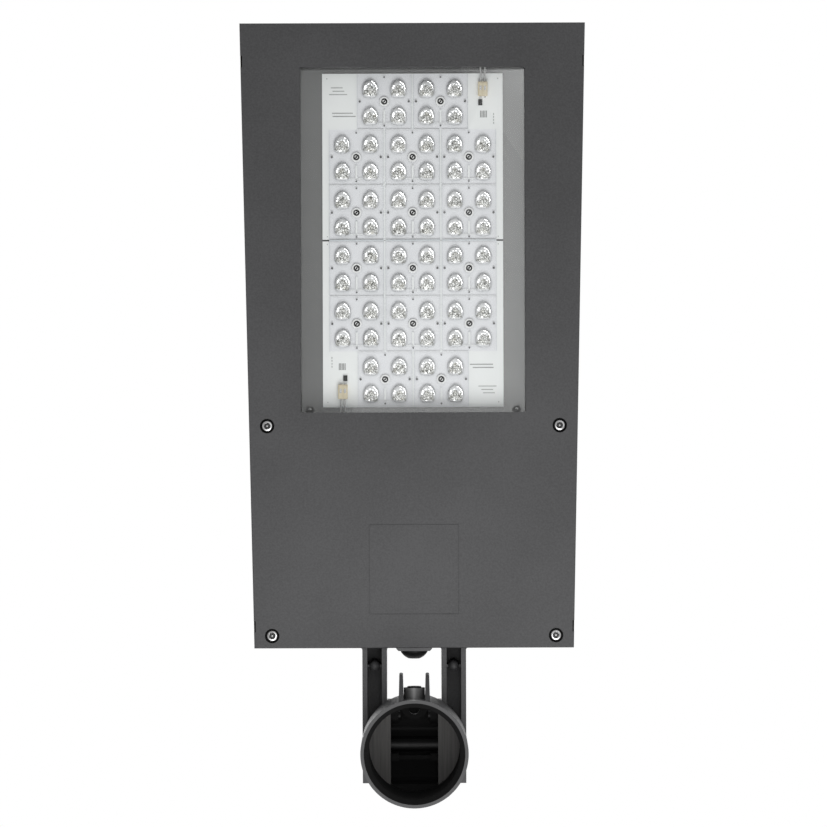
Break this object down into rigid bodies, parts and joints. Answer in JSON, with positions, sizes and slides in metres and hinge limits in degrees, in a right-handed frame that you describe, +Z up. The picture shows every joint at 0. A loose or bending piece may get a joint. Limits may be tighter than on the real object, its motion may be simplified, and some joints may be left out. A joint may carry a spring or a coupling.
{
  "type": "led street light head",
  "caption": "LED street light head: a flat tapered die-cast housing with a glass window over lens modules, on two arms hinged to a vertical pole socket.",
  "frame": {"origin": "on the axis of the pole socket's straight bore, where it begins above the flared mouth", "axes": "+Z up along the pole and the socket's axis; +Y from the pole to the tip of the head; the light leaves along -Z"},
  "size_m": [0.3062, 0.6876, 0.164],
  "materials": {
    "powder_coat": "fine-textured dark grey powder coat on die-cast aluminium",
    "bright_steel": "bright stainless steel, lightly brushed",
    "bolt_steel": "zinc-plated steel",
    "zinc_sheet": "zinc-plated sheet steel",
    "bare_aluminium": "rolled aluminium plate, satin",
    "window_glass": "clear toughened flat glass",
    "clear_lens": "clear moulded acrylic lens",
    "board_white": "white solder mask",
    "chip_yellow": "yellow phosphor",
    "black_component": "black epoxy",
    "cream_terminal": "cream moulded plastic",
    "grey_lead": "grey insulation",
    "white_sleeve": "grey woven glass sleeving",
    "driver_case": "potted case, dark grey",
    "grey_case": "moulded grey plastic",
    "black_plastic": "black moulded nylon",
    "black_rubber": "matte black rubber",
    "grey_rubber": "grey silicone sponge"
  },
  "bodies": {
    "socket": {"pole_socket": "powder_coat", "clamp_screw": "bolt_steel", "cable_grommet": "black_rubber", "cord_clamp_bar": "bright_steel", "cord_clamp_screws": "bright_steel", "pivot_sleeve": "bolt_steel"},
    "head": {"board_diodes": "black_component", "board_leads": "grey_lead", "board_terminals": "cream_terminal", "cord_saddle": "grey_case", "cover_frame": "powder_coat", "cover_screws": "bright_steel", "driver_screws": "bright_steel", "gear_tray": "zinc_sheet", "gear_tray_screws": "bright_steel", "gland_body": "black_plastic", "gland_locknut": "black_plastic", "gland_nut": "black_plastic", "gland_seal": "black_rubber", "glass_clip_screws": "bright_steel", "glass_clips": "bright_steel", "glass_gasket": "grey_rubber", "heat_plate": "bare_aluminium", "heat_plate_screws": "bright_steel", "housing_gasket": "grey_rubber", "lead_sleeve": "white_sleeve", "led_board_front": "board_white", "led_board_rear": "board_white", "led_chips": "chip_yellow", "led_driver": "driver_case", "lens_module_01": "clear_lens", "lens_module_02": "clear_lens", "lens_module_03": "clear_lens", "lens_module_04": "clear_lens", "lens_module_05": "clear_lens", "lens_module_06": "clear_lens", "lens_module_07": "clear_lens", "lens_module_08": "clear_lens", "lens_module_09": "clear_lens", "lens_module_10": "clear_lens", "lens_module_11": "clear_lens", "lens_module_12": "clear_lens", "lens_module_13": "clear_lens", "lens_module_14": "clear_lens", "lens_module_15": "clear_lens", "lens_module_16": "clear_lens", "lens_screws": "bright_steel", "lock_bolts": "bolt_steel", "lock_nuts": "bolt_steel", "mains_terminal": "cream_terminal", "pivot_bolt": "bolt_steel", "pivot_nut": "bolt_steel", "saddle_screws": "bright_steel", "surge_protector": "grey_case", "upper_housing": "powder_coat", "window_glass": "window_glass"}
  },
  "joints": [
    {"name": "head_tilt", "type": "hinge", "parent": "socket", "child": "head", "pos_m": [0, 0, 0.094], "axis": [1, 0, 0], "range_deg": [0, 15]}
  ]
}
